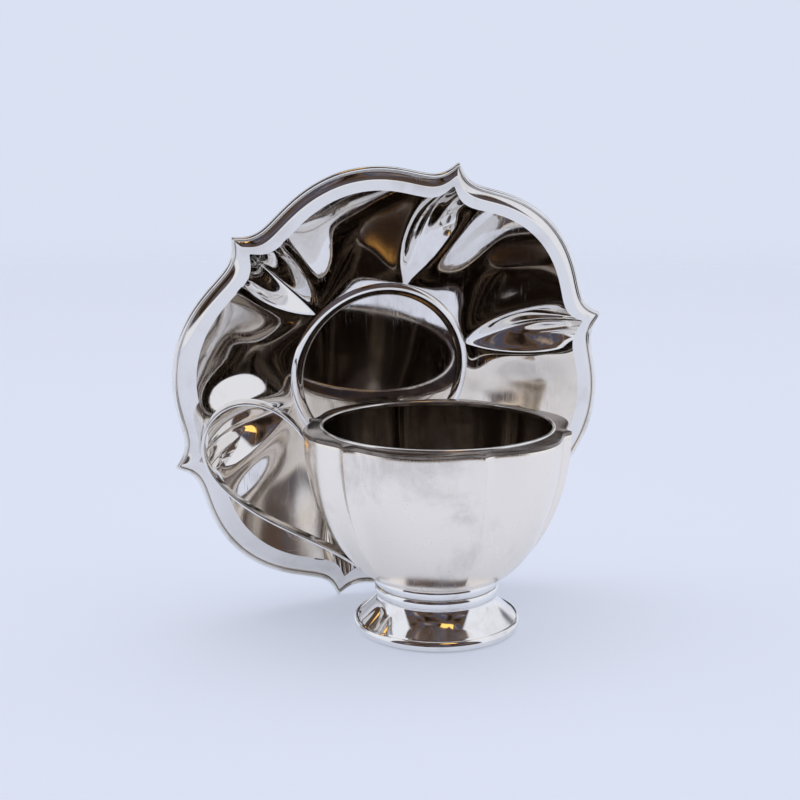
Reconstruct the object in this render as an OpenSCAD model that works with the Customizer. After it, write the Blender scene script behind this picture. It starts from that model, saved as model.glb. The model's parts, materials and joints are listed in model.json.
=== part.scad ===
// Silver cup and saucer with six ogee lobes. The cup stands on its foot, and the
// saucer stands on its edge behind it and leans forward on the cup's rim.
// The origin is the centre of the foot on the table, +Z is up, the handle points to -X.

/* [Cup body] */
// Height of the cup from the table to the top of its rim
cup_h = 63; // [54:0.5:78]
// Radius over the lobes at the rim
rim_r = 41; // [36:0.5:50]
// Thickness of the raised silver wall
wall = 0.9; // [0.7:0.1:1.5]
// Direction of the first of the six cusps, seen from above
cusp_turn = -11; // [-30:1:30]
// Radius of the cusps as a share of the lobe radius
cup_tip = 0.985; // [0.96:0.005:1.03]
// Depth of the hollows beside each cusp as a share of the lobe radius
cup_dip = 0.12; // [0.06:0.01:0.14]
// How quickly the lower half fills out, higher is a squarer bowl
belly_power = 2.15; // [1.8:0.05:2.8]

/* [Rim] */
// Radius of the round mouth inside the flat rim
mouth_r = 35.5; // [30:0.5:36]
// Thickness of the flat rim
rim_t = 1.1; // [0.8:0.1:2]
// Width of the raised bead round the mouth
bead_w = 1.1; // [0.8:0.1:1.6]
// Height that the bead stands above the flat rim
bead_rise = 0.5; // [0.2:0.1:1]

/* [Foot] */
// Radius of the foot at the table
foot_r = 25.8; // [22:0.2:32]
// Height of the curved foot up to the collar
foot_h = 10.4; // [8:0.2:16]
// Radius of the foot at its neck
neck_r = 18.4; // [15:0.2:20]
// Height of the rolled bead round the foot
foot_bead_h = 3.6; // [2.4:0.2:5]
// Height of each of the two collar rings
ring_h = 3.3; // [2:0.1:4.5]

/* [Handle] */
// Distance that the handle stands out beyond the lobes
handle_reach = 29.3; // [22:0.5:38]
// Height of the loop above the rim
handle_rise = 7.6; // [3:0.2:14]
// Width of the strap at its widest
strap_w = 7.4; // [5:0.2:9]
// Thickness of the strap
strap_t = 1.1; // [0.8:0.1:1.6]
// Turn of the handle from -X towards the front
handle_turn = 5; // [5:1:9]

/* [Saucer] */
// Radius from the saucer's centre to its cusps
saucer_r = 73; // [62:0.5:88]
// Depth from the flange to the flat seat
saucer_depth = 16.5; // [12:0.5:22]
// Width of the flat flange
flange_w = 7.2; // [5:0.2:10]
// Width of the outer part of the flange, which rolls back to the edge
roll_w = 4.2; // [2.8:0.2:4.6]
// Distance that the edge lies behind the flat of the flange
roll_drop = 1.2; // [0.4:0.1:1.6]
// Outer radius of the raised ring round the seat
seat_r = 30.2; // [26:0.2:36]
// Width of the raised ring
ring_w = 4; // [2:0.2:6]
// Height of the raised ring above the seat
ring_rise = 0.8; // [0.3:0.1:1.5]
// Height that the seat bulges in its middle
seat_dome = 0.2; // [0:0.05:0.5]
// Thickness of the raised silver plate
plate_t = 0.9; // [0.8:0.1:1.6]
// Half width of the groove that runs in from each cusp, where it leaves the flange
groove_half = 7.4; // [5:0.2:9]
// Section radius of the fillet round the edge
edge_r = 0.7; // [0.5:0.1:1.3]

/* [Saucer's place] */
// Turn of the saucer about the vertical
saucer_turn = 21; // [0:1:26]
// Forward lean of the saucer from the vertical
saucer_lean = 9; // [8:0.5:14]
// Roll of the saucer in its own plane
saucer_roll = 17; // [0:1:60]
// Distance of the saucer's centre to the right of the cup's axis, along its edge
saucer_side = -4.8; // [-10:0.1:10]
// Clearance between the saucer and the cup
lean_gap = 0.5; // [0.4:0.1:2]

/* [Hidden] */
$fn = 96;

lobes = 6;
pitch = 360 / lobes;
silver = [0.8, 0.8, 0.82];
bright = [0.88, 0.88, 0.9];

// Heights that stack from the table up
seat_z = foot_h + 2 * ring_h;
wall_top = cup_h - rim_t;
collar_r = neck_r + 0.9;

// The bowl's profile starts just inside the collar and fills out to the rim
bowl_start_r = neck_r - 1.4;
bowl_start_z = seat_z - 1.7;
belly_round = 0.72;

// How far each collar ring bulges beyond the neck
ring_bulge = [0.7, collar_r - neck_r];

// Share of the wall's height over which the fluting grows from nothing at the collar
flute_share = 0.5;

// Angular samples of one lobe, closer together near the cusps
steps = 6;
crowd = 1.6;

function from_cusp(a) = abs(((a % pitch) + 1.5 * pitch) % pitch - pitch / 2);

// One ogee lobe: 1 at the middle, a hollow near the cusp and a pointed tip on it
function ogee(a, tip, dip, w) =
    let (u = from_cusp(a) / (pitch / 2))
    1 - dip * pow(1 - u, 2) + (tip - 1 + dip) * exp(-u / w);

tip_width = 0.13;
function cup_shape(a) = ogee(a, cup_tip, cup_dip, tip_width);

saucer_tip = 1.016;
saucer_dip = 0.12;
function saucer_shape(a) = ogee(a, saucer_tip, saucer_dip, tip_width);
lobe_r = saucer_r / saucer_tip;

angles = [for (i = [0 : lobes - 1], k = [-steps : steps - 1])
    let (u = k / steps)
    pitch * i + sign(k) * pitch / 2 * pow(abs(u), crowd)];

// Outer radius of the bowl's lobes at height z, before fluting
function bowl_share(z) = (z - bowl_start_z) / (cup_h - bowl_start_z);
function bowl_r(z) =
    let (t = min(1, bowl_share(z)))
    bowl_start_r + (rim_r - bowl_start_r) * pow(1 - pow(1 - t, belly_power), belly_round);

function smooth(x) = let (c = max(0, min(1, x))) c * c * (3 - 2 * c);
function flute(z) = smooth((z - seat_z) / ((cup_h - seat_z) * flute_share));
function cup_r(z, a) = bowl_r(z) * (1 + flute(z) * (cup_shape(a) - 1));

// A closed mesh from rings of points, the first and last closed by flat caps
function ring_faces(rows, n) = concat(
    [for (j = [0 : rows - 2], i = [0 : n - 1])
        [j * n + i, (j + 1) * n + i, (j + 1) * n + (i + 1) % n]],
    [for (j = [0 : rows - 2], i = [0 : n - 1])
        [j * n + i, (j + 1) * n + (i + 1) % n, j * n + (i + 1) % n]],
    [[for (i = [0 : n - 1]) i]],
    [[for (i = [0 : n - 1]) rows * n - 1 - i]]);

module skin(rings) {
    n = len(rings[0]);
    polyhedron(points = [for (ring = rings) each ring], faces = ring_faces(len(rings), n));
}

// Heights of the bowl's mesh rows, closer together low down where it curves most
bowl_rows = 11;
function row_z(j, low) = low + (wall_top - low) * pow(j / bowl_rows, 1.5);

module bowl_shell() {
    floor_z = seat_z + wall;
    outer = [for (j = [0 : bowl_rows]) let (z = row_z(j, seat_z))
        [for (a = angles) let (r = cup_r(z, a)) [r * cos(a), r * sin(a), z]]];
    inner = [for (j = [bowl_rows : -1 : 0]) let (z = row_z(j, floor_z))
        [for (a = angles) let (r = cup_r(z, a) - wall * (j == 0 ? 2.2 : 1.05))
            [r * cos(a), r * sin(a), z]]];
    color(silver)
        rotate(cusp_turn)
        skin(concat(outer, inner));
}

module rim_band() {
    color(silver)
        rotate(cusp_turn)
        translate([0, 0, wall_top])
        difference() {
            linear_extrude(rim_t)
                polygon([for (a = angles) let (r = cup_r(wall_top, a)) [r * cos(a), r * sin(a)]]);
            translate([0, 0, -1])
                cylinder(h = rim_t + 2, r = mouth_r);
        }
}

module mouth_bead() {
    bead_z = cup_h + bead_rise - bead_w / 2;
    color(bright)
        rotate_extrude()
        union() {
            translate([mouth_r - bead_w / 2, bead_z])
                circle(d = bead_w, $fn = 24);
            translate([mouth_r - bead_w, wall_top])
                square([bead_w, bead_z - wall_top]);
        }
}

module foot_collar() {
    tube_t = 1.6;
    color(bright)
        rotate_extrude()
        difference() {
            union() {
                translate([neck_r - tube_t, foot_h])
                    square([tube_t + 0.2, 2 * ring_h]);
                for (i = [0 : 1])
                    translate([neck_r, foot_h + ring_h * (i + 0.5)])
                    scale([ring_bulge[i], ring_h / 2])
                    circle(r = 1, $fn = 32);
            }
            square([neck_r - tube_t, cup_h]);
        }
}

// The spun foot sweeps out from the neck to the bead in one hollow curve
module foot_pedestal() {
    bead_in = foot_r - foot_bead_h / 2;
    cove_steps = 12;
    sweep = 1.5;
    function cove_r(s) = neck_r + (bead_in - neck_r) * pow(s, sweep);
    function cove_z(s) = foot_h - (foot_h - foot_bead_h) * s;
    outside = [for (i = [0 : cove_steps]) let (s = i / cove_steps) [cove_r(s), cove_z(s)]];
    inside = [for (i = [cove_steps : -1 : 0]) let (s = i / cove_steps)
        [cove_r(s) - 1.3 * wall, i == 0 ? foot_h : max(foot_bead_h, cove_z(s) - 0.35 * wall)]];
    color(bright)
        rotate_extrude()
        polygon(concat(outside, inside));
}

module foot_bead() {
    half = foot_bead_h / 2;
    color(bright)
        rotate_extrude()
        union() {
            translate([foot_r - half, half])
                circle(r = half, $fn = 48);
            translate([foot_r - half * 2, 0])
                square([half, foot_bead_h]);
        }
}

// One point of a cubic curve through four poles
function curve(p, t) =
    pow(1 - t, 3) * p[0] + 3 * t * pow(1 - t, 2) * p[1]
    + 3 * t * t * (1 - t) * p[2] + pow(t, 3) * p[3];

// The strap's middle line in its own upright plane: [distance from the axis, height]
strap_top = cup_h + handle_rise;
strap_out = rim_r + handle_reach;
handle_dir = 180 + handle_turn;
root_z = wall_top - 2.6;
root_r = cup_r(root_z, handle_dir - cusp_turn);
foot_end_z = seat_z + 2.4;
foot_end_r = cup_r(foot_end_z, handle_dir - cusp_turn);
crown_r = strap_out - 13;
widest_z = cup_h - 6;
bend = [strap_out - 14.5, cup_h - 25.6];
strap_poles = [
    [[root_r, root_z], [root_r + 3.2, root_z + 5.6], [crown_r - 8, strap_top], [crown_r, strap_top]],
    [[crown_r, strap_top], [crown_r + 7.6, strap_top], [strap_out, widest_z + 7.5],
        [strap_out, widest_z]],
    [[strap_out, widest_z], [strap_out, widest_z - 8], [bend[0] + 7, bend[1] + 4.7], bend],
    [bend, [bend[0] - 11, bend[1] - 7.4], [foot_end_r + 11, foot_end_z + 8],
        [foot_end_r, foot_end_z]]];
strap_steps = 9;
strap_line = [for (k = [0 : 3], i = [0 : strap_steps - (k < 3 ? 1 : 0)])
    curve(strap_poles[k], i / strap_steps)];

// The strap narrows down the long lower run and spreads again where it meets the bowl
function strap_half_w(s) = strap_w / 2 * (1 - 0.22 * smooth((s - 0.45) / 0.3)
    + 0.2 * smooth((s - 0.85) / 0.15));

module handle_strap() {
    last = len(strap_line) - 1;
    edge = strap_t / 2;
    rings = [for (i = [0 : last])
        let (
            here = strap_line[i],
            ahead = strap_line[min(last, i + 1)] - strap_line[max(0, i - 1)],
            out = [-ahead[1], ahead[0]] / norm(ahead),
            w = strap_half_w(i / last)
        )
        [for (c = [[-1, 0], [-0.9, -0.7], [-0.72, -1], [0.72, -1], [0.9, -0.7],
                   [1, 0], [0.9, 0.7], [0.72, 1], [-0.72, 1], [-0.9, 0.7]])
            [here[0] + out[0] * c[1] * edge, c[0] * w, here[1] + out[1] * c[1] * edge]]];
    color(silver)
        rotate(handle_dir)
        skin(rings);
}

// The saucer is drawn flat, cusps in the XY plane, its face up and its flange at z = 0
// A groove runs down the wall from each cusp, between lips that fall more slowly than the lobes
wall_power = 2.2;
groove_power = 4;
lip_power = 1.4;
lip_reach = 16;
groove_taper = 2.5;
function flange_in(a) = lobe_r * saucer_shape(a) - flange_w;
function fall(u, power) = -saucer_depth * (1 - pow(1 - u, power));
function face_z(u, a, r) =
    let (
        across = r * sin(from_cusp(a)),
        half = groove_half * (1.02 - pow(u, groove_taper)),
        lobe_power = lip_power + (wall_power - lip_power) * smooth((across - half) / lip_reach),
        floor_z = fall(u, groove_power),
        lip_z = fall(u, lobe_power)
    )
    floor_z + (lip_z - floor_z) * min(1, across / half);

// Rows run from the edge in to the seat: [radius at this angle, height]
bowl_steps = 11;
edge_in = 2 * edge_r;
function plate_row(k, a) =
    let (edge = lobe_r * saucer_shape(a), r_in = flange_in(a))
    k == 0 ? [edge - edge_in, -roll_drop] :
    k == 1 ? [edge - roll_w, 0] :
    let (u = (k - 2) / bowl_steps, r = r_in + (seat_r - r_in) * u)
    k <= bowl_steps + 2 ? [r, face_z(u, a, r)] :
    k == bowl_steps + 3 ? [seat_r - ring_w / 2, -saucer_depth + ring_rise] :
    k == bowl_steps + 4 ? [seat_r - ring_w, -saucer_depth] :
    [seat_r / 3, -saucer_depth + seat_dome];
plate_rows = bowl_steps + 5;

// The back follows the face, lowered more where the wall is steep
function back_drop(k) = plate_t * (k > 2 && k < 7 ? 1.35 : 1);

module lean_saucer() {
    rotate(saucer_turn)
        translate([saucer_side, saucer_back, edge_r])
        rotate([90 + saucer_lean, 0, 0])
        translate([0, rest_r, roll_drop])
        rotate(saucer_roll)
        children();
}

module saucer_plate() {
    back = [for (k = [plate_rows : -1 : 0])
        [for (a = angles) let (q = plate_row(k, a))
            [q[0] * cos(a), q[0] * sin(a), q[1] - back_drop(k)]]];
    face = [for (k = [0 : plate_rows])
        [for (a = angles) let (q = plate_row(k, a)) [q[0] * cos(a), q[0] * sin(a), q[1]]]];
    color(silver)
        lean_saucer()
        skin(concat(back, face));
}

// A rounded wire soldered round the edge
module saucer_edge_fillet() {
    sides = 8;
    color(bright)
        lean_saucer()
        edge_ring(sides);
}

function edge_point(a, t) =
    let (r = lobe_r * saucer_shape(a) - edge_r + edge_r * cos(t))
    [r * cos(a), r * sin(a), edge_r * sin(t) - roll_drop];

module edge_ring(sides) {
    n = len(angles);
    points = [for (a = angles, j = [0 : sides - 1]) edge_point(a, 360 * j / sides)];
    faces = concat(
        [for (i = [0 : n - 1], j = [0 : sides - 1])
            [i * sides + j, ((i + 1) % n) * sides + (j + 1) % sides, ((i + 1) % n) * sides + j]],
        [for (i = [0 : n - 1], j = [0 : sides - 1])
            [i * sides + j, i * sides + (j + 1) % sides, ((i + 1) % n) * sides + (j + 1) % sides]]);
    polyhedron(points = points, faces = faces);
}

// How far below the centre the saucer touches the table, at the middle of its edge wire
rest_r = max([for (a = angles) -(lobe_r * saucer_shape(a) - edge_r) * sin(a + saucer_roll)]);

// The saucer leans until its seat meets the rim, and its flange stays clear of the handle
rim_back = max([for (a = angles) cup_r(cup_h, a) * sin(a + cusp_turn - saucer_turn)]);
seat_plane = roll_drop + seat_dome - saucer_depth;
rim_touch = rim_back * cos(saucer_lean) + cup_h * sin(saucer_lean) + seat_plane;
function strap_back(q) = q[0] * sin(saucer_turn - handle_turn) + strap_w / 2;
handle_touch = roll_drop + max([for (q = strap_line)
    strap_back(q) * cos(saucer_lean) + q[1] * sin(saucer_lean)]);
saucer_back = (max(rim_touch, handle_touch) + lean_gap - edge_r * sin(saucer_lean))
    / cos(saucer_lean);

bowl_shell();
rim_band();
mouth_bead();
handle_strap();
foot_collar();
foot_pedestal();
foot_bead();
saucer_plate();
saucer_edge_fillet();
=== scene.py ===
import json
import math

import bpy
from mathutils import Matrix, Vector


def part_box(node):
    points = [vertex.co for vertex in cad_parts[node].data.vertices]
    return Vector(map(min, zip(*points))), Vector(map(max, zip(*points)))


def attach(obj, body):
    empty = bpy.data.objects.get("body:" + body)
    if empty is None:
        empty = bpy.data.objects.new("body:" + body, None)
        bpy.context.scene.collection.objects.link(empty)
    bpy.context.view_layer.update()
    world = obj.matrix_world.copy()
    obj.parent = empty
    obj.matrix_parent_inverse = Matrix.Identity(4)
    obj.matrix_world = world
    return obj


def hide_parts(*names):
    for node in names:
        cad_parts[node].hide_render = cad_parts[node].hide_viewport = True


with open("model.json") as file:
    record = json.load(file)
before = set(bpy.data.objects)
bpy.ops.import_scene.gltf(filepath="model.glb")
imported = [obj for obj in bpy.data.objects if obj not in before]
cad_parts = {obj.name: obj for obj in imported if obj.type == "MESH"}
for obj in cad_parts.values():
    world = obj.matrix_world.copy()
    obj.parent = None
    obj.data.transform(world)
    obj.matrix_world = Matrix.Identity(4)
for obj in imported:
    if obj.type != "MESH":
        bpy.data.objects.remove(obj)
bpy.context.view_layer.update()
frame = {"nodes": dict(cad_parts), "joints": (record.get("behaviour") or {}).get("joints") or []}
mm = 0.001
print("frame loaded:", len(frame["nodes"]), "nodes")

# the camera stands in front of the cup, a little above its rim
cameraView = {
    "distance": 393.9,  # mm in front of the foot's centre
    "height": 149.0,
    "pitch": 11.26,  # degrees below level
    "turn": 1.65,  # degrees to the left
    "lens": 60.1,
}


def makeCamera(view):
    data = bpy.data.cameras.new("studioCamera")
    data.lens = view["lens"]
    data.sensor_width = 36
    data.clip_start = 0.01
    camera = bpy.data.objects.new("studioCamera", data)
    camera.location = (0, -view["distance"] * mm, view["height"] * mm)
    camera.rotation_euler = (math.radians(90 - view["pitch"]), 0, math.radians(view["turn"]))
    bpy.context.scene.collection.objects.link(camera)
    bpy.context.scene.camera = camera


makeCamera(cameraView)
print("camera placed")


def linearColour(hexColour):
    # sRGB hex to the linear values that Blender works in
    channels = [int(hexColour[i:i + 2], 16) / 255 for i in (1, 3, 5)]
    return [c / 12.92 if c <= 0.04045 else ((c + 0.055) / 1.055) ** 2.4 for c in channels] + [1]


def addNode(tree, kind, settings=None, links=None):
    node = tree.nodes.new(kind)
    for key, value in (settings or {}).items():
        if isinstance(key, int) or key in node.inputs:
            node.inputs[key].default_value = value
        else:
            setattr(node, key, value)
    for key, source in (links or {}).items():
        tree.links.new(source, node.inputs[key])
    return node


def mixColours(tree, first, second, share):
    # a Mix node keeps its two colours on sockets 6 and 7, and the share on 0
    return addNode(tree, "ShaderNodeMix",
                   {"data_type": "RGBA", 6: linearColour(first), 7: linearColour(second)}, {0: share})


# how the stray scratches lie in every piece: turned in space, in radians, and spread in mm
scratch = {"tilt": 0.6, "lean": 0.3, "spread": 9}


def silverMaterial(name, look):
    material = bpy.data.materials.new(name)
    material.use_nodes = True
    tree = material.node_tree
    tree.nodes.clear()
    place = addNode(tree, "ShaderNodeTexCoord").outputs["Object"]
    # u runs round the piece and v along it, both in mm
    grain = addNode(tree, "ShaderNodeUVMap", {"uv_map": "grain"}).outputs["UV"]

    # clouds of tarnish left between the rubbed places
    cloud = addNode(tree, "ShaderNodeTexNoise",
                    {"Scale": 1 / (look["cloudSize"] * mm), "Detail": 5, "Roughness": 0.62,
                     "Distortion": 0.4},
                    {"Vector": place})
    cloudShare = addNode(tree, "ShaderNodeMapRange",
                         {"From Min": look["cloudFrom"], "From Max": look["cloudTo"],
                          "interpolation_type": "SMOOTHSTEP"},
                         {"Value": cloud.outputs["Fac"]})
    # fine specks and water spots
    speck = addNode(tree, "ShaderNodeTexNoise",
                    {"Scale": 1 / (look["speckSize"] * mm), "Detail": 3, "Roughness": 0.7},
                    {"Vector": place})
    speckShare = addNode(tree, "ShaderNodeMapRange", {"From Min": 0.62, "From Max": 0.78},
                         {"Value": speck.outputs["Fac"]})
    # dirt that a polishing cloth can't reach
    corner = addNode(tree, "ShaderNodeAmbientOcclusion", {"samples": 6, "Distance": look["cornerReach"] * mm})
    cornerShare = addNode(tree, "ShaderNodeMapRange",
                          {"From Min": 0.25, "From Max": 0.8, "To Min": look["cornerDirt"], "To Max": 0},
                          {"Value": corner.outputs["AO"]})
    # hairlines from the cloth, drawn wider than life so that they show
    stretched = addNode(tree, "ShaderNodeMapping",
                        {"Scale": (1 / look["lineWidth"], 1 / look["lineLength"], 1)}, {"Vector": grain})
    lines = addNode(tree, "ShaderNodeTexNoise", {"Scale": 1, "Detail": 4, "Roughness": 0.65},
                    {"Vector": stretched.outputs["Vector"]})
    inMm = addNode(tree, "ShaderNodeVectorMath", {"operation": "SCALE", "Scale": 1 / mm}, {"Vector": place})
    crossed = addNode(tree, "ShaderNodeMapping",
                      {"Rotation": (scratch["tilt"], scratch["lean"], look["crossTurn"]),
                       "Scale": (1 / look["crossWidth"], 1 / look["crossLength"], 1 / scratch["spread"])},
                      {"Vector": inMm.outputs["Vector"]})
    cross = addNode(tree, "ShaderNodeTexNoise",
                    {"Scale": 1, "Detail": 2, "Roughness": 0.5, "Distortion": 0.25},
                    {"Vector": crossed.outputs["Vector"]})
    crossShare = addNode(tree, "ShaderNodeMapRange", {"From Min": 0.64, "From Max": 0.7},
                         {"Value": cross.outputs["Fac"]})

    dull = addNode(tree, "ShaderNodeMath", {"operation": "MULTIPLY", 1: look["tarnishShare"]},
                   {0: cloudShare.outputs["Result"]})
    dullAll = addNode(tree, "ShaderNodeMath", {"operation": "MAXIMUM"},
                      {0: dull.outputs["Value"], 1: cornerShare.outputs["Result"]})
    colour = mixColours(tree, look["silver"], look["tarnish"], dullAll.outputs["Value"])

    # roughness rises with tarnish, along the hairlines and in the specks
    rough = addNode(tree, "ShaderNodeMath",
                    {"operation": "MULTIPLY_ADD", 1: look["roughSpread"], 2: look["rough"]},
                    {0: cloudShare.outputs["Result"]})
    for share, key in ((lines.outputs["Fac"], "lineRough"), (speckShare.outputs["Result"], "speckRough"),
                       (crossShare.outputs["Result"], "crossRough")):
        rough = addNode(tree, "ShaderNodeMath", {"operation": "MULTIPLY_ADD", 1: look[key]},
                        {0: share, 2: rough.outputs["Value"]})

    # the hammer's slow waves, then the hairlines
    wave = addNode(tree, "ShaderNodeTexNoise",
                   {"Scale": 1 / (look["waveSize"] * mm), "Detail": 1, "Roughness": 0.4}, {"Vector": place})
    waveBump = addNode(tree, "ShaderNodeBump", {"Strength": 1, "Distance": look["waveDepth"] * mm},
                       {"Height": wave.outputs["Fac"]})
    lineBump = addNode(tree, "ShaderNodeBump", {"Strength": 1, "Distance": look["lineDepth"] * mm},
                       {"Height": lines.outputs["Fac"], "Normal": waveBump.outputs["Normal"]})
    crossBump = addNode(tree, "ShaderNodeBump",
                        {"Strength": 1, "Distance": look["crossDepth"] * mm, "invert": True},
                        {"Height": crossShare.outputs["Result"], "Normal": lineBump.outputs["Normal"]})

    metal = addNode(tree, "ShaderNodeBsdfPrincipled", {"Metallic": 1},
                    {"Base Color": colour.outputs[2], "Roughness": rough.outputs["Value"],
                     "Normal": crossBump.outputs["Normal"]})
    addNode(tree, "ShaderNodeOutputMaterial", {}, {"Surface": metal.outputs["BSDF"]})
    return material


def gridPiece(name, rows, material, sharp=35, closed=False):
    # rings joined one to the next; a first or last ring of one point is closed by a fan
    columns = max(len(row) for row in rows)
    points, starts = [], []
    for row in rows:
        starts.append(len(points))
        points += [Vector(p) * mm for p in row]
    middle = rows[len(rows) // 2]
    around = sum((Vector(middle[i]) - Vector(middle[i - 1])).length for i in range(len(middle)))
    along = [0.0]
    for near, far in zip(rows, rows[1:]):
        along.append(along[-1] + (Vector(near[0]) - Vector(far[0])).length)
    faces, spots = [], []
    links = list(zip(range(len(rows)), range(1, len(rows))))
    if closed:
        links.append((len(rows) - 1, 0))
        along.append(along[-1] + (Vector(rows[-1][0]) - Vector(rows[0][0])).length)
    for low, high in links:
        top = along[low + 1]
        for i in range(columns):
            j = (i + 1) % columns
            left, right = around * i / columns, around * (i + 1) / columns
            if len(rows[low]) == 1:
                faces.append((starts[low], starts[high] + j, starts[high] + i))
                spots += [(left, along[low]), (right, top), (left, top)]
            elif len(rows[high]) == 1:
                faces.append((starts[low] + i, starts[low] + j, starts[high]))
                spots += [(left, along[low]), (right, along[low]), (left, top)]
            else:
                faces.append((starts[low] + i, starts[low] + j, starts[high] + j, starts[high] + i))
                spots += [(left, along[low]), (right, along[low]), (right, top), (left, top)]
    mesh = bpy.data.meshes.new(name)
    mesh.from_pydata(points, [], faces)
    layer = mesh.uv_layers.new(name="grain")
    for corner, spot in zip(layer.data, spots):
        corner.uv = spot
    for face in mesh.polygons:
        face.use_smooth = True
    mesh.set_sharp_from_angle(angle=math.radians(sharp))
    mesh.validate()
    mesh.materials.append(material)
    piece = bpy.data.objects.new(name, mesh)
    bpy.context.scene.collection.objects.link(piece)
    return piece


def ring(radius, height, count=256):
    return [(radius * math.cos(math.tau * i / count), radius * math.sin(math.tau * i / count), height)
            for i in range(count)]


def turnedPiece(name, profile, material, sharp=35):
    # a closed profile of (radius, height) spun round the cup's axis
    return gridPiece(name, [ring(r, z) for r, z in profile], material, sharp, closed=True)


def arc(centreR, centreZ, radiusR, radiusZ, start, end, steps):
    return [(centreR + radiusR * math.cos(math.radians(start + (end - start) * i / steps)),
             centreZ + radiusZ * math.sin(math.radians(start + (end - start) * i / steps)))
            for i in range(steps + 1)]


def smooth(x):
    c = max(0.0, min(1.0, x))
    return c * c * (3 - 2 * c)


# one lobe outline: full in the middle, a hollow beside each cusp, and a point on the cusp
outline = {"lobes": 6, "pointWidth": 0.13, "softness": 0.35}
pitch = 360 / outline["lobes"]


def fromCusp(a):
    near = abs(((a % pitch) + 1.5 * pitch) % pitch - pitch / 2)
    return math.hypot(near, outline["softness"]) - outline["softness"]


def ogee(a, reach, hollow):
    u = fromCusp(a) / (pitch / 2)
    return 1 - hollow * (1 - u) ** 2 + (reach - 1 + hollow) * math.exp(-u / outline["pointWidth"])


def lobeAngles(steps, crowd):
    # closer together beside the cusps, where the outline turns sharply
    return [pitch * i + math.copysign(pitch / 2 * abs(k / steps) ** crowd, k)
            for i in range(outline["lobes"]) for k in range(-steps, steps)]


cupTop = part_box("rim_band")[1].z / mm
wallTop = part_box("rim_band")[0].z / mm
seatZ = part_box("bowl_shell")[0].z / mm

cupBody = {
    "rimRadius": 41, "cuspTurn": -11, "cuspReach": 0.985, "hollow": 0.12,
    "startRadius": 17, "startDrop": 1.7, "bellyPower": 2.15, "bellyRound": 0.72, "fluteShare": 0.5,
    "wall": 0.9, "rows": 60, "rowCrowd": 1.4,  # rows crowd towards the floor, where the wall curves most
    "filletDepth": 1.2, "filletReach": 0.7,
}


def cupRadius(z, a):
    b = cupBody
    start = seatZ - b["startDrop"]
    t = min(1, (z - start) / (cupTop - start))
    fullness = (1 - (1 - t) ** b["bellyPower"]) ** b["bellyRound"]
    plain = b["startRadius"] + (b["rimRadius"] - b["startRadius"]) * fullness
    flute = smooth((z - seatZ) / ((cupTop - seatZ) * b["fluteShare"]))
    return plain * (1 + flute * (ogee(a, b["cuspReach"], b["hollow"]) - 1))


cupAngles = lobeAngles(26, 1.7)


def cupRing(z, inset=0.0, share=1.0):
    turn = cupBody["cuspTurn"]
    return [(share * (cupRadius(z, a) - inset) * math.cos(math.radians(a + turn)),
             share * (cupRadius(z, a) - inset) * math.sin(math.radians(a + turn)), z) for a in cupAngles]


# sterling silver, raised and planished, then rubbed dull by years of cloths: soft bright glow, grey smudges
satinSilver = silverMaterial("satinRubbedSilver", {
    "silver": "#FEF6EB", "tarnish": "#8A837B", "tarnishShare": 0.5,
    "cloudSize": 30, "cloudFrom": 0.52, "cloudTo": 0.8, "speckSize": 1.6,
    "cornerReach": 1.2, "cornerDirt": 0.5,
    "lineWidth": 0.22, "lineLength": 9, "lineDepth": 0.005, "lineRough": 0.1,
    "crossTurn": 0.7, "crossWidth": 0.35, "crossLength": 12, "crossDepth": 0.002, "crossRough": 0.06,
    "rough": 0.17, "roughSpread": 0.12, "speckRough": 0.1,
    "waveSize": 16, "waveDepth": 0.05,
})
# the same sheet inside the cup, only rinsed: warm brown tarnish over a half polish, with its colours darkened
# further as painted shade for the dim inside of the cup
insideTarnishAndShadeSilver = silverMaterial("insideTarnishAndPaintedShadeSilver", {
    "silver": "#9C9084", "tarnish": "#2E241D", "tarnishShare": 0.85,
    "cloudSize": 18, "cloudFrom": 0.3, "cloudTo": 0.75, "speckSize": 1.2,
    "cornerReach": 2, "cornerDirt": 0.8,
    "lineWidth": 0.4, "lineLength": 14, "lineDepth": 0.01, "lineRough": 0.1,
    "crossTurn": 0.2, "crossWidth": 0.4, "crossLength": 9, "crossDepth": 0.002, "crossRough": 0.05,
    "rough": 0.1, "roughSpread": 0.12, "speckRough": 0.08,
    "waveSize": 14, "waveDepth": 0.05,
})


def makeBowl():
    b = cupBody
    count = b["rows"]
    floorZ = seatZ + b["wall"]
    rows = [[(0, 0, seatZ)], cupRing(seatZ, share=0.45), cupRing(seatZ, inset=0.5)]
    for j in range(count + 1):
        z = seatZ + 0.3 + (wallTop - 0.45 - seatZ) * (j / count) ** b["rowCrowd"]
        rows.append(cupRing(z))
    rows += [cupRing(wallTop - 0.04, 0.06), cupRing(wallTop, 0.2), cupRing(wallTop, b["wall"])]
    outsideFaces = (len(rows) - 1) * len(cupAngles)
    for j in range(count, -1, -1):
        z = floorZ + (wallTop - 0.2 - floorZ) * (j / count) ** b["rowCrowd"]
        fillet = b["filletDepth"] * math.exp(-(z - floorZ) / b["filletReach"])
        rows.append(cupRing(z, b["wall"] * 1.05 + fillet))
    rows += [cupRing(floorZ, 4), cupRing(floorZ, 0, 0.3), [(0, 0, floorZ)]]
    bowl = gridPiece("cupBowl", rows, satinSilver, 50)
    # the inner faces take the inside silver, whose dark colour is partly painted shade
    bowl.data.materials.append(insideTarnishAndShadeSilver)
    for face in bowl.data.polygons:
        if face.index >= outsideFaces:
            face.material_index = 1
    return bowl


bowl = makeBowl()
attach(bowl, "cup")
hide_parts("bowl_shell")
print("bowl made")

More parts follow.
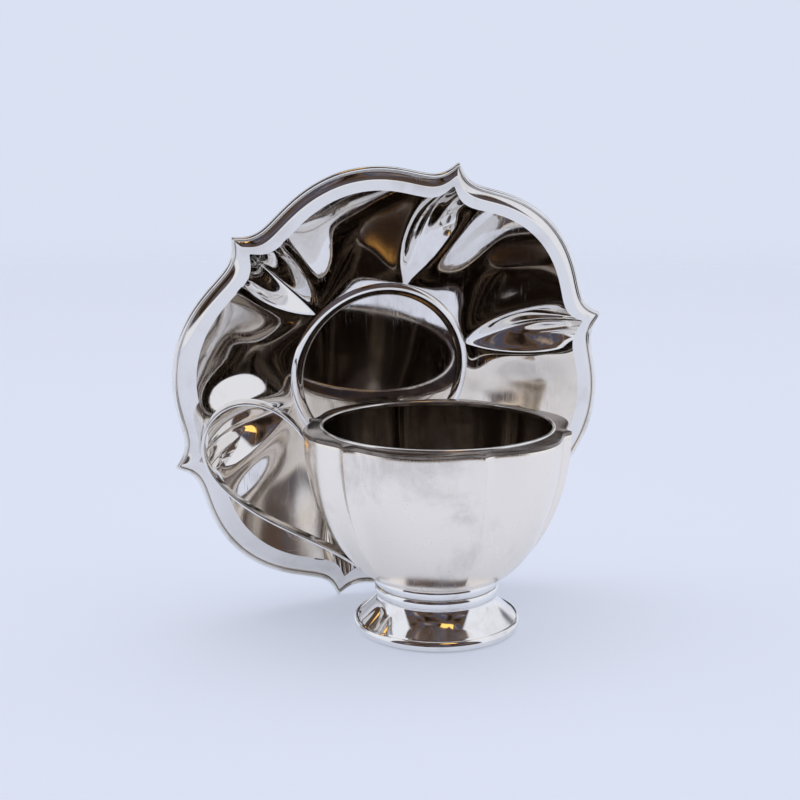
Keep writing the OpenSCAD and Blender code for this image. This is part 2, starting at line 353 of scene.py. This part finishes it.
# rolled silver sheet, flat and polished, lightly browned: a dark mirror with a bright edge
rimSilver = silverMaterial("flatPolishedSilver", {
    "silver": "#948A81", "tarnish": "#382E27", "tarnishShare": 0.72,
    "cloudSize": 12, "cloudFrom": 0.35, "cloudTo": 0.7, "speckSize": 1,
    "cornerReach": 0.8, "cornerDirt": 0.8,
    "lineWidth": 0.5, "lineLength": 4, "lineDepth": 0.003, "lineRough": 0.05,
    "crossTurn": 1.1, "crossWidth": 0.3, "crossLength": 7, "crossDepth": 0.002, "crossRough": 0.08,
    "rough": 0.06, "roughSpread": 0.08, "speckRough": 0.08,
    "waveSize": 9, "waveDepth": 0.02,
})
rimPlate = {"edgeRound": 0.28, "steps": 4}
bead = {"width": 1.1, "rise": 0.5, "chamfer": 0.15}
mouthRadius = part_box("mouth_bead")[1].x / mm


def makeRim():
    radius, steps = rimPlate["edgeRound"], rimPlate["steps"]
    turns = [math.radians(a + cupBody["cuspTurn"]) for a in cupAngles]
    outer = [cupRadius(wallTop, a) for a in cupAngles]
    quarter = [math.pi / 2 * i / steps for i in range(steps + 1)]
    hole = mouthRadius - bead["width"] / 2

    # the rounded edge from below to above as (inset, height), then the hole
    edge = [(radius - radius * math.sin(t), wallTop + radius - radius * math.cos(t)) for t in quarter]
    edge += [(radius - radius * math.cos(t), cupTop - radius + radius * math.sin(t)) for t in quarter]
    rows = [[((r - inset) * math.cos(t), (r - inset) * math.sin(t), z) for r, t in zip(outer, turns)]
            for inset, z in edge]
    rows += [[(hole * math.cos(t), hole * math.sin(t), z) for t in turns] for z in (cupTop, wallTop)]
    return gridPiece("rimPlate", rows, rimSilver, 40, closed=True)


rim = makeRim()
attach(rim, "cup")
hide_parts("rim_band")

# drawn silver wire, kept bright by handling: a thin crisp line of light
wireSilver = silverMaterial("brightDrawnSilver", {
    "silver": "#F6F4F0", "tarnish": "#8F8579", "tarnishShare": 0.35,
    "cloudSize": 10, "cloudFrom": 0.45, "cloudTo": 0.75, "speckSize": 0.8,
    "cornerReach": 0.6, "cornerDirt": 0.75,
    "lineWidth": 3, "lineLength": 0.2, "lineDepth": 0.002, "lineRough": 0.05,
    "crossTurn": 0.4, "crossWidth": 0.3, "crossLength": 5, "crossDepth": 0.001, "crossRough": 0.05,
    "rough": 0.08, "roughSpread": 0.08, "speckRough": 0.05,
    "waveSize": 6, "waveDepth": 0.008,
})


def makeBead():
    middle = mouthRadius - bead["width"] / 2
    centreZ = cupTop + bead["rise"] - bead["width"] / 2
    profile = arc(middle, centreZ, bead["width"] / 2, bead["width"] / 2, 0, 180, 16)
    inner = middle - bead["width"] / 2
    profile += [(inner, wallTop + bead["chamfer"]), (inner + bead["chamfer"], wallTop),
                (middle + bead["width"] / 2, wallTop)]
    return turnedPiece("mouthBead", profile, wireSilver)


mouth = makeBead()
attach(mouth, "cup")
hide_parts("mouth_bead")
print("rim and mouth bead made")

# silver spun on a chuck and buffed hard: the sharpest mirror on the cup
footSilver = silverMaterial("spunMirrorSilver", {
    "silver": "#F8F7F5", "tarnish": "#8A8078", "tarnishShare": 0.25,
    "cloudSize": 14, "cloudFrom": 0.5, "cloudTo": 0.8, "speckSize": 0.9,
    "cornerReach": 0.8, "cornerDirt": 0.7,
    "lineWidth": 6, "lineLength": 0.25, "lineDepth": 0.002, "lineRough": 0.03,
    "crossTurn": 0.9, "crossWidth": 0.25, "crossLength": 6, "crossDepth": 0.001, "crossRough": 0.06,
    "rough": 0.03, "roughSpread": 0.06, "speckRough": 0.05,
    "waveSize": 9, "waveDepth": 0.012,
})
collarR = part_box("foot_collar")[1].x / mm
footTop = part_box("foot_collar")[0].z / mm
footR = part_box("foot_bead")[1].x / mm
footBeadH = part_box("foot_bead")[1].z / mm
foot = {
    "neckDrop": 0.9, "ringBulge": (0.7, 0.9), "ringGap": 0.06, "tube": 1.6,
    "coveSweep": 1.5, "sheet": 1.17, "quirk": 0.35, "lip": 0.4,
}
neckR = collarR - foot["neckDrop"]


def makeCollar():
    ringH = (seatZ - footTop) / 2
    inner = neckR - foot["tube"]
    profile = [(inner, footTop)]
    for i, bulge in enumerate(foot["ringBulge"]):
        profile += arc(neckR, footTop + ringH * (i + 0.5), bulge, ringH / 2 - foot["ringGap"], -90, 90, 18)
    profile += [(inner, seatZ)]
    return turnedPiece("footCollar", profile, footSilver, 60)


def makePedestal():
    beadIn = footR - footBeadH / 2
    steps = 40
    outside = [(neckR + (beadIn - neckR) * (i / steps) ** foot["coveSweep"],
                footTop - (footTop - footBeadH) * i / steps) for i in range(steps + 1)]
    inside = [(r - foot["sheet"], footTop if i == 0 else max(footBeadH - 0.1, z - 0.3))
              for i, (r, z) in enumerate(outside)]
    return turnedPiece("footPedestal", outside + inside[::-1], footSilver, 45)


def makeFootBead():
    half, lip = footBeadH / 2, foot["lip"]
    profile = arc(footR - half, half, half, half, -90, 62, 26)
    profile += [(footR - half + lip, footBeadH - foot["quirk"]), (footR - half, footBeadH),
                (footR - half * 2, footBeadH), (footR - half * 2, lip), (footR - half * 2 + lip, 0)]
    return turnedPiece("footBead", profile, footSilver, 40)


for made, node in ((makeCollar(), "foot_collar"), (makePedestal(), "foot_pedestal"),
                   (makeFootBead(), "foot_bead")):
    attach(made, "cup")
    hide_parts(node)
print("foot made")

# silver strap, filed, bent and buffed: clear along the faces, worn round at the edges
strapSilver = silverMaterial("buffedStrapSilver", {
    "silver": "#F1EFEC", "tarnish": "#7F746A", "tarnishShare": 0.4,
    "cloudSize": 9, "cloudFrom": 0.42, "cloudTo": 0.75, "speckSize": 0.9,
    "cornerReach": 1.2, "cornerDirt": 0.7,
    "lineWidth": 0.5, "lineLength": 8, "lineDepth": 0.003, "lineRough": 0.06,
    "crossTurn": 0.3, "crossWidth": 0.3, "crossLength": 4, "crossDepth": 0.002, "crossRough": 0.07,
    "rough": 0.07, "roughSpread": 0.08, "speckRough": 0.06,
    "waveSize": 7, "waveDepth": 0.015,
})
strap = {
    "reach": 29.3, "rise": 7.6, "width": 7.4, "thickness": 1.1, "turn": 5,
    "edgeRound": 0.42, "dome": 0.1, "steps": 26,
    "rootDrop": 2.6, "endRise": 2.4,  # its ends on the bowl, under the rim and over the bowl's floor
    "widestDrop": 6, "bendDrop": 25.6,  # below the rim
    "crownIn": 13, "bendIn": 14.5,  # in from the widest point
    "waist": 0.22, "flare": 0.2,  # how much it narrows on the lower run, and spreads at its end
}


def bezier(p, t):
    weights = ((1 - t) ** 3, 3 * t * (1 - t) ** 2, 3 * t * t * (1 - t), t ** 3)
    return [sum(weight * pole[i] for weight, pole in zip(weights, p)) for i in (0, 1)]


def makeStrap():
    direction = 180 + strap["turn"]
    toCup = direction - cupBody["cuspTurn"]
    rootZ, footEndZ = wallTop - strap["rootDrop"], seatZ + strap["endRise"]
    rootR, footEndR = cupRadius(rootZ, toCup), cupRadius(footEndZ, toCup)
    top, widestZ = cupTop + strap["rise"], cupTop - strap["widestDrop"]
    out = cupBody["rimRadius"] + strap["reach"]
    crownR = out - strap["crownIn"]
    bend = (out - strap["bendIn"], cupTop - strap["bendDrop"])
    # four curves from the rim to the floor: two ends each, and the two pulls between them
    poles = [
        [(rootR, rootZ), (rootR + 3.2, rootZ + 5.6), (crownR - 8, top), (crownR, top)],
        [(crownR, top), (crownR + 7.6, top), (out, widestZ + 7.5), (out, widestZ)],
        [(out, widestZ), (out, widestZ - 8), (bend[0] + 7, bend[1] + 4.7), bend],
        [bend, (bend[0] - 11, bend[1] - 7.4), (footEndR + 11, footEndZ + 8), (footEndR, footEndZ)]]
    steps = strap["steps"]
    line = [bezier(poles[k], i / steps) for k in range(4) for i in range(steps)] + [list(poles[3][3])]
    last = len(line) - 1
    rows = []
    turnSin, turnCos = math.sin(math.radians(direction)), math.cos(math.radians(direction))
    for i, (r, z) in enumerate(line):
        s = i / last
        before, after = line[max(0, i - 1)], line[min(last, i + 1)]
        slope = math.hypot(after[0] - before[0], after[1] - before[1])
        outR, outZ = -(after[1] - before[1]) / slope, (after[0] - before[0]) / slope
        waist = strap["waist"] * smooth((s - 0.45) / 0.3)
        flare = strap["flare"] * smooth((s - 0.85) / 0.15)
        half = strap["width"] / 2 * (1 - waist + flare)
        thick = strap["thickness"] / 2
        row = []
        for x, y in strapSection(half, thick):
            distance, height = r + outR * y, z + outZ * y
            row.append((distance * turnCos - x * turnSin, distance * turnSin + x * turnCos, height))
        rows.append(row)
    first = [tuple(sum(p[i] for p in rows[0]) / len(rows[0]) for i in range(3))]
    end = [tuple(sum(p[i] for p in rows[-1]) / len(rows[-1]) for i in range(3))]
    return gridPiece("handleStrap", [first] + rows + [end], strapSilver, 50)


def strapSection(half, thick):
    # a flat strip with rounded edges and faces that bulge very slightly
    radius, dome = strap["edgeRound"], strap["dome"]
    flat, deep = half - radius, thick - dome - radius
    points = []
    corners = ((flat, deep, 0), (-flat, deep, 90), (-flat, -deep, 180), (flat, -deep, 270))
    for centreX, centreY, start in corners:
        points += arc(centreX, centreY, radius, radius, start, start + 90, 5)
        if start in (0, 180):
            face = 1 if start == 0 else -1
            for i in range(1, 8):
                x = flat * (1 - 2 * i / 8) * face
                points.append((x, face * (thick - dome * (x / flat) ** 2)))
    return points


handle = makeStrap()
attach(handle, "cup")
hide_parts("handle_strap")
print("handle made")

# sterling silver, pressed into a die and buffed to a mirror, now with hairlines and a warm bloom
saucerSilver = silverMaterial("pressedMirrorSilver", {
    "silver": "#F3F0EC", "tarnish": "#9C8B7C", "tarnishShare": 0.35,
    "cloudSize": 24, "cloudFrom": 0.45, "cloudTo": 0.78, "speckSize": 1.1,
    "cornerReach": 1.2, "cornerDirt": 0.7,
    "lineWidth": 5, "lineLength": 0.4, "lineDepth": 0.002, "lineRough": 0.02,
    "crossTurn": 0.8, "crossWidth": 0.22, "crossLength": 9, "crossDepth": 0.002, "crossRough": 0.1,
    "rough": 0.03, "roughSpread": 0.05, "speckRough": 0.05,
    "waveSize": 17, "waveDepth": 0.05,
})
saucer = {
    "cuspRadius": 73, "cuspReach": 1.016, "hollow": 0.12, "depth": 16.5, "flange": 7.2, "seatRadius": 30.2,
    "sheet": 0.9, "edgeRadius": 0.7, "rollWidth": 4.2, "rollDrop": 1.2,
    "ringRise": 0.8, "ringWidth": 4, "seatDome": 0.2,
    "wallPower": 2.2, "groovePower": 4, "lipPower": 1.4, "lipReach": 16,
    "grooveHalf": 7.4, "grooveTaper": 2.5, "grooveSoftness": 0.35, "lipSoftness": 0.5,
    "rollPower": 1.6, "ringPower": 0.8, "backSteep": 0.35,  # extra sheet behind the steep part of the wall
    "lean": 9, "roll": 17,
}
lobeR = saucer["cuspRadius"] / saucer["cuspReach"]
saucerAngles = lobeAngles(24, 1.6)


def saucerShape(a):
    return ogee(a, saucer["cuspReach"], saucer["hollow"])


def fall(u, power):
    return -saucer["depth"] * (1 - (1 - u) ** power)


def wallHeight(u, a, r):
    # a groove with a narrow floor between two lips, then the hollow of the lobe
    softness = saucer["grooveSoftness"]
    across = math.hypot(r * math.sin(math.radians(fromCusp(a))), softness) - softness
    half = saucer["grooveHalf"] * (1.02 - u ** saucer["grooveTaper"])
    beyond = smooth((across - half) / saucer["lipReach"])
    lip = fall(u, saucer["lipPower"] + (saucer["wallPower"] - saucer["lipPower"]) * beyond)
    floor = fall(u, saucer["groovePower"])
    gap = half - across
    inside = (gap + math.hypot(gap, saucer["lipSoftness"] * min(1, half))) / 2
    return floor + (lip - floor) * max(0, 1 - inside / half)


def saucerFace(a):
    # radius and height of the face at this angle, from the edge in to the middle
    depth, seat = saucer["depth"], saucer["seatRadius"]
    edge = lobeR * saucerShape(a)
    outer = edge - 2 * saucer["edgeRadius"]
    roll, inner = edge - saucer["rollWidth"], edge - saucer["flange"]
    line = []
    for i in range(8):
        t = 1 - i / 8
        line.append((roll + (outer - roll) * t, -saucer["rollDrop"] * t ** saucer["rollPower"]))
    line += [(roll + (inner - roll) * i / 5, 0) for i in range(5)]
    count = 52
    for k in range(count + 1):
        u = 0.5 - 0.5 * math.cos(math.pi * k / count)
        r = inner + (seat - inner) * u
        line.append((r, wallHeight(u, a, r)))
    for k in range(1, 17):
        t = k / 16
        rise = saucer["ringRise"] * math.sin(math.pi * t) ** saucer["ringPower"]
        line.append((seat - saucer["ringWidth"] * t, -depth + rise))
    inside = seat - saucer["ringWidth"]
    for k in range(1, 12):
        share = 1 - k / 12
        line.append((inside * share, -depth + saucer["seatDome"] * (1 - share * share)))
    return line


hinge = frame["joints"][0]
saucerTurn = math.atan2(-hinge["axis"][1], -hinge["axis"][0])
restR = max(-(lobeR * saucerShape(a) - saucer["edgeRadius"]) * math.sin(math.radians(a + saucer["roll"]))
            for a in saucerAngles)
saucerPlace = (Matrix.Translation(Vector(hinge["pos_m"]) / mm) @ Matrix.Rotation(saucerTurn, 4, "Z")
               @ Matrix.Rotation(math.radians(90 + saucer["lean"]), 4, "X")
               @ Matrix.Translation((0, restR, saucer["rollDrop"]))
               @ Matrix.Rotation(math.radians(saucer["roll"]), 4, "Z"))


def placed(r, a, z):
    return tuple(saucerPlace @ Vector((r * math.cos(math.radians(a)), r * math.sin(math.radians(a)), z)))


def makeSaucer():
    lines = [saucerFace(a) for a in saucerAngles]
    count = len(lines[0])
    rows = [[placed(0, 0, saucer["seatDome"] - saucer["depth"])]]
    for k in range(count - 1, -1, -1):
        rows.append([placed(line[k][0], a, line[k][1]) for a, line in zip(saucerAngles, lines)])
    for k in range(count):
        # the wall is rows 13 to 65, and its steep part ends about row 44
        steep = 1 + saucer["backSteep"] * smooth((k - 12) / 6) * (1 - smooth((k - 34) / 10))
        rows.append([placed(line[k][0], a, line[k][1] - saucer["sheet"] * steep)
                     for a, line in zip(saucerAngles, lines)])
    rows.append([placed(0, 0, saucer["seatDome"] - saucer["depth"] - saucer["sheet"])])
    return gridPiece("saucerPlate", rows[::-1], saucerSilver, 38)


def makeEdgeWire():
    radius = saucer["edgeRadius"]
    sides = 16
    rows = []
    for j in range(sides):
        t = math.tau * j / sides
        rows.append([placed(lobeR * saucerShape(a) - radius + radius * math.cos(t), a,
                            radius * math.sin(t) - saucer["rollDrop"]) for a in saucerAngles])
    return gridPiece("saucerEdgeWire", rows, wireSilver, 60, closed=True)


plate = makeSaucer()
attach(plate, "saucer")
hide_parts("saucer_plate")
edgeWire = makeEdgeWire()
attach(edgeWire, "saucer")
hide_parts("saucer_edge_fillet")
print("saucer made")

# pale paper on the table, a white light tent round it, and a dark warm room beyond the tent's open front
studio = {
    "paper": "#A4A8B2", "paperGlow": 0.56, "paperRough": 0.7, "paperGrain": 400,
    "nearFloor": 0.6, "farFloor": 3.0, "fadeFrom": 0.6, "fadeTo": 1.7,  # radii of the floor, in m
    "background": "#DAE1F2", "tent": "#EEF1FA", "tentStrength": 0.95,
    "opening": 0.65, "openingShift": 0.12,  # how fast the open front narrows, and how far it reaches back
    "openingEdge": (-0.03, 0.05), "horizonEdge": (-0.02, 0.05),  # how softly the room ends
    "roomDark": "#221A16", "roomBrown": "#5E4C40", "roomSlate": "#474B5E", "roomLight": "#A08B78",
    "roomShapes": 2.6, "patchShapes": 1.9,  # a higher number makes smaller shapes
    "tentShade": "#6F737D", "shadeFrom": 0.15, "shadeTo": 0.6,  # soft grey patches on the tent behind the set
    "fillPower": 15, "fillSize": 2.2, "fillHeight": 1.5, "fillColour": (0.95, 0.97, 1),
}
lamp = {"place": (0.2, -0.4, 0.9), "size": (0.26, 0.2), "aim": (0, 0, 0.06), "colour": "#F0BC68", "glow": 1.9}


def plainMaterial(name, hexColour, strength=None):
    # matt paper, or a plain glow when it has a strength
    material = bpy.data.materials.new(name)
    material.use_nodes = True
    tree = material.node_tree
    tree.nodes.clear()
    if strength is None:
        noise = addNode(tree, "ShaderNodeTexNoise", {"Scale": studio["paperGrain"], "Detail": 3})
        bump = addNode(tree, "ShaderNodeBump", {"Strength": 0.1, "Distance": 0.1 * mm},
                       {"Height": noise.outputs["Fac"]})
        shader = addNode(tree, "ShaderNodeBsdfPrincipled",
                         {"Base Color": linearColour(hexColour), "Roughness": studio["paperRough"],
                          "Emission Color": linearColour(studio["background"]),
                          "Emission Strength": studio["paperGlow"]},
                         {"Normal": bump.outputs["Normal"]})
        surface = shader.outputs["BSDF"]
    else:
        surface = addNode(tree, "ShaderNodeEmission",
                          {"Color": linearColour(hexColour), "Strength": strength}).outputs["Emission"]
    addNode(tree, "ShaderNodeOutputMaterial", {}, {"Surface": surface})
    return material


def flatStage(name, points, faces, material):
    mesh = bpy.data.meshes.new(name)
    mesh.from_pydata(points, [], faces)
    mesh.materials.append(material)
    item = bpy.data.objects.new(name, mesh)
    bpy.context.scene.collection.objects.link(item)
    return item


def makeFloor():
    paper = plainMaterial("matPaper", studio["paper"])
    fading = plainMaterial("matPaperFading", studio["paper"])
    tree = fading.node_tree
    output = next(n for n in tree.nodes if n.type == "OUTPUT_MATERIAL")
    solid = output.inputs["Surface"].links[0].from_socket
    place = addNode(tree, "ShaderNodeTexCoord").outputs["Object"]
    reach = addNode(tree, "ShaderNodeVectorMath", {"operation": "LENGTH"}, {"Vector": place})
    gone = addNode(tree, "ShaderNodeMapRange",
                   {"From Min": studio["fadeFrom"], "From Max": studio["fadeTo"],
                    "interpolation_type": "SMOOTHSTEP"},
                   {"Value": reach.outputs["Value"]})
    clear = addNode(tree, "ShaderNodeBsdfTransparent")
    both = addNode(tree, "ShaderNodeMixShader", {},
                   {0: gone.outputs["Result"], 1: solid, 2: clear.outputs["BSDF"]})
    tree.links.new(both.outputs["Shader"], output.inputs["Surface"])
    count = 96
    inner, outer = ring(studio["nearFloor"], 0, count), ring(studio["farFloor"], 0, count)
    flatStage("floorNear", inner, [tuple(range(count))], paper)
    around = [(i, count + i, count + (i + 1) % count, (i + 1) % count) for i in range(count)]
    beyond = flatStage("floorFar", inner + outer, around, fading)
    beyond.visible_glossy = False


def card(name, centre, size, aim, hexColour, strength):
    # a glowing panel that shows only in reflections
    toward = (Vector(aim) - Vector(centre)).normalized()
    turn = toward.to_track_quat("Z", "Y").to_matrix()
    points = [Vector(centre) + turn @ Vector((x * size[0] / 2, y * size[1] / 2, 0))
              for x, y in ((-1, -1), (1, -1), (1, 1), (-1, 1))]
    panel = flatStage(name, points, [(0, 1, 2, 3)], plainMaterial(name + "Glow", hexColour, strength))
    panel.visible_camera = False
    panel.visible_diffuse = False
    panel.visible_shadow = False


def makeLights():
    card("warmLamp", lamp["place"], lamp["size"], lamp["aim"], lamp["colour"], lamp["glow"])
    data = bpy.data.lights.new("overheadFill", "AREA")
    data.shape = "SQUARE"
    data.size = studio["fillSize"]
    data.energy = studio["fillPower"]
    data.color = studio["fillColour"]
    light = bpy.data.objects.new("overheadFill", data)
    light.location = (0, 0, studio["fillHeight"])
    bpy.context.scene.collection.objects.link(light)
    light.visible_glossy = False


def makeWorld():
    world = bpy.data.worlds.new("lightTent")
    bpy.context.scene.world = world
    world.use_nodes = True
    tree = world.node_tree
    tree.nodes.clear()
    toward = addNode(tree, "ShaderNodeTexCoord").outputs["Generated"]
    split = addNode(tree, "ShaderNodeSeparateXYZ", {}, {0: toward})
    side = addNode(tree, "ShaderNodeMath", {"operation": "ABSOLUTE"}, {0: split.outputs["X"]})
    narrow = addNode(tree, "ShaderNodeMath",
                     {"operation": "MULTIPLY_ADD", 1: -studio["opening"], 2: studio["openingShift"]},
                     {0: side.outputs[0]})
    front = addNode(tree, "ShaderNodeMath", {"operation": "SUBTRACT"},
                    {0: narrow.outputs[0], 1: split.outputs["Y"]})
    frontShare = addNode(tree, "ShaderNodeMapRange",
                         {"From Min": studio["openingEdge"][0], "From Max": studio["openingEdge"][1],
                          "interpolation_type": "SMOOTHSTEP"},
                         {"Value": front.outputs[0]})
    aboveShare = addNode(tree, "ShaderNodeMapRange",
                         {"From Min": studio["horizonEdge"][0], "From Max": studio["horizonEdge"][1],
                          "interpolation_type": "SMOOTHSTEP"},
                         {"Value": split.outputs["Z"]})
    share = addNode(tree, "ShaderNodeMath", {"operation": "MULTIPLY"},
                    {0: frontShare.outputs[0], 1: aboveShare.outputs[0]})
    # dark and warm shapes in the room
    shapes = addNode(tree, "ShaderNodeTexNoise",
                     {"Scale": studio["roomShapes"], "Detail": 3, "Roughness": 0.5, "Distortion": 0.6},
                     {"Vector": toward})
    ramp = addNode(tree, "ShaderNodeValToRGB", {}, {0: shapes.outputs["Fac"]})
    ramp.color_ramp.elements[0].position = 0.36
    ramp.color_ramp.elements[0].color = linearColour(studio["roomDark"])
    ramp.color_ramp.elements[1].position = 0.72
    ramp.color_ramp.elements[1].color = linearColour(studio["roomLight"])
    ramp.color_ramp.elements.new(0.5).color = linearColour(studio["roomBrown"])
    ramp.color_ramp.elements.new(0.6).color = linearColour(studio["roomSlate"])
    # the tent's cloth, with grey patches on the side behind the set
    behind = addNode(tree, "ShaderNodeMapRange",
                     {"From Min": studio["shadeFrom"], "From Max": studio["shadeTo"],
                      "interpolation_type": "SMOOTHSTEP"},
                     {"Value": split.outputs["Y"]})
    panels = addNode(tree, "ShaderNodeTexNoise",
                     {"Scale": studio["patchShapes"], "Detail": 2, "Roughness": 0.4}, {"Vector": toward})
    panelShare = addNode(tree, "ShaderNodeMapRange",
                         {"From Min": 0.44, "From Max": 0.6, "interpolation_type": "SMOOTHSTEP"},
                         {"Value": panels.outputs["Fac"]})
    shade = addNode(tree, "ShaderNodeMath", {"operation": "MULTIPLY"},
                    {0: behind.outputs[0], 1: panelShare.outputs[0]})
    cloth = mixColours(tree, studio["tent"], studio["tentShade"], shade.outputs[0])
    tent = addNode(tree, "ShaderNodeBackground", {"Strength": studio["tentStrength"]},
                   {"Color": cloth.outputs[2]})
    room = addNode(tree, "ShaderNodeBackground", {"Strength": 1}, {"Color": ramp.outputs["Color"]})
    around = addNode(tree, "ShaderNodeMixShader", {},
                     {0: share.outputs[0], 1: tent.outputs[0], 2: room.outputs[0]})
    # what the camera sees past the floor's edge is plain paper
    seen = addNode(tree, "ShaderNodeLightPath").outputs["Is Camera Ray"]
    paper = addNode(tree, "ShaderNodeBackground",
                    {"Color": linearColour(studio["background"]), "Strength": 1})
    both = addNode(tree, "ShaderNodeMixShader", {}, {0: seen, 1: around.outputs[0], 2: paper.outputs[0]})
    addNode(tree, "ShaderNodeOutputWorld", {}, {"Surface": both.outputs[0]})


makeFloor()
makeLights()
makeWorld()
bpy.context.scene.view_settings.view_transform = "Standard"
print("studio made")
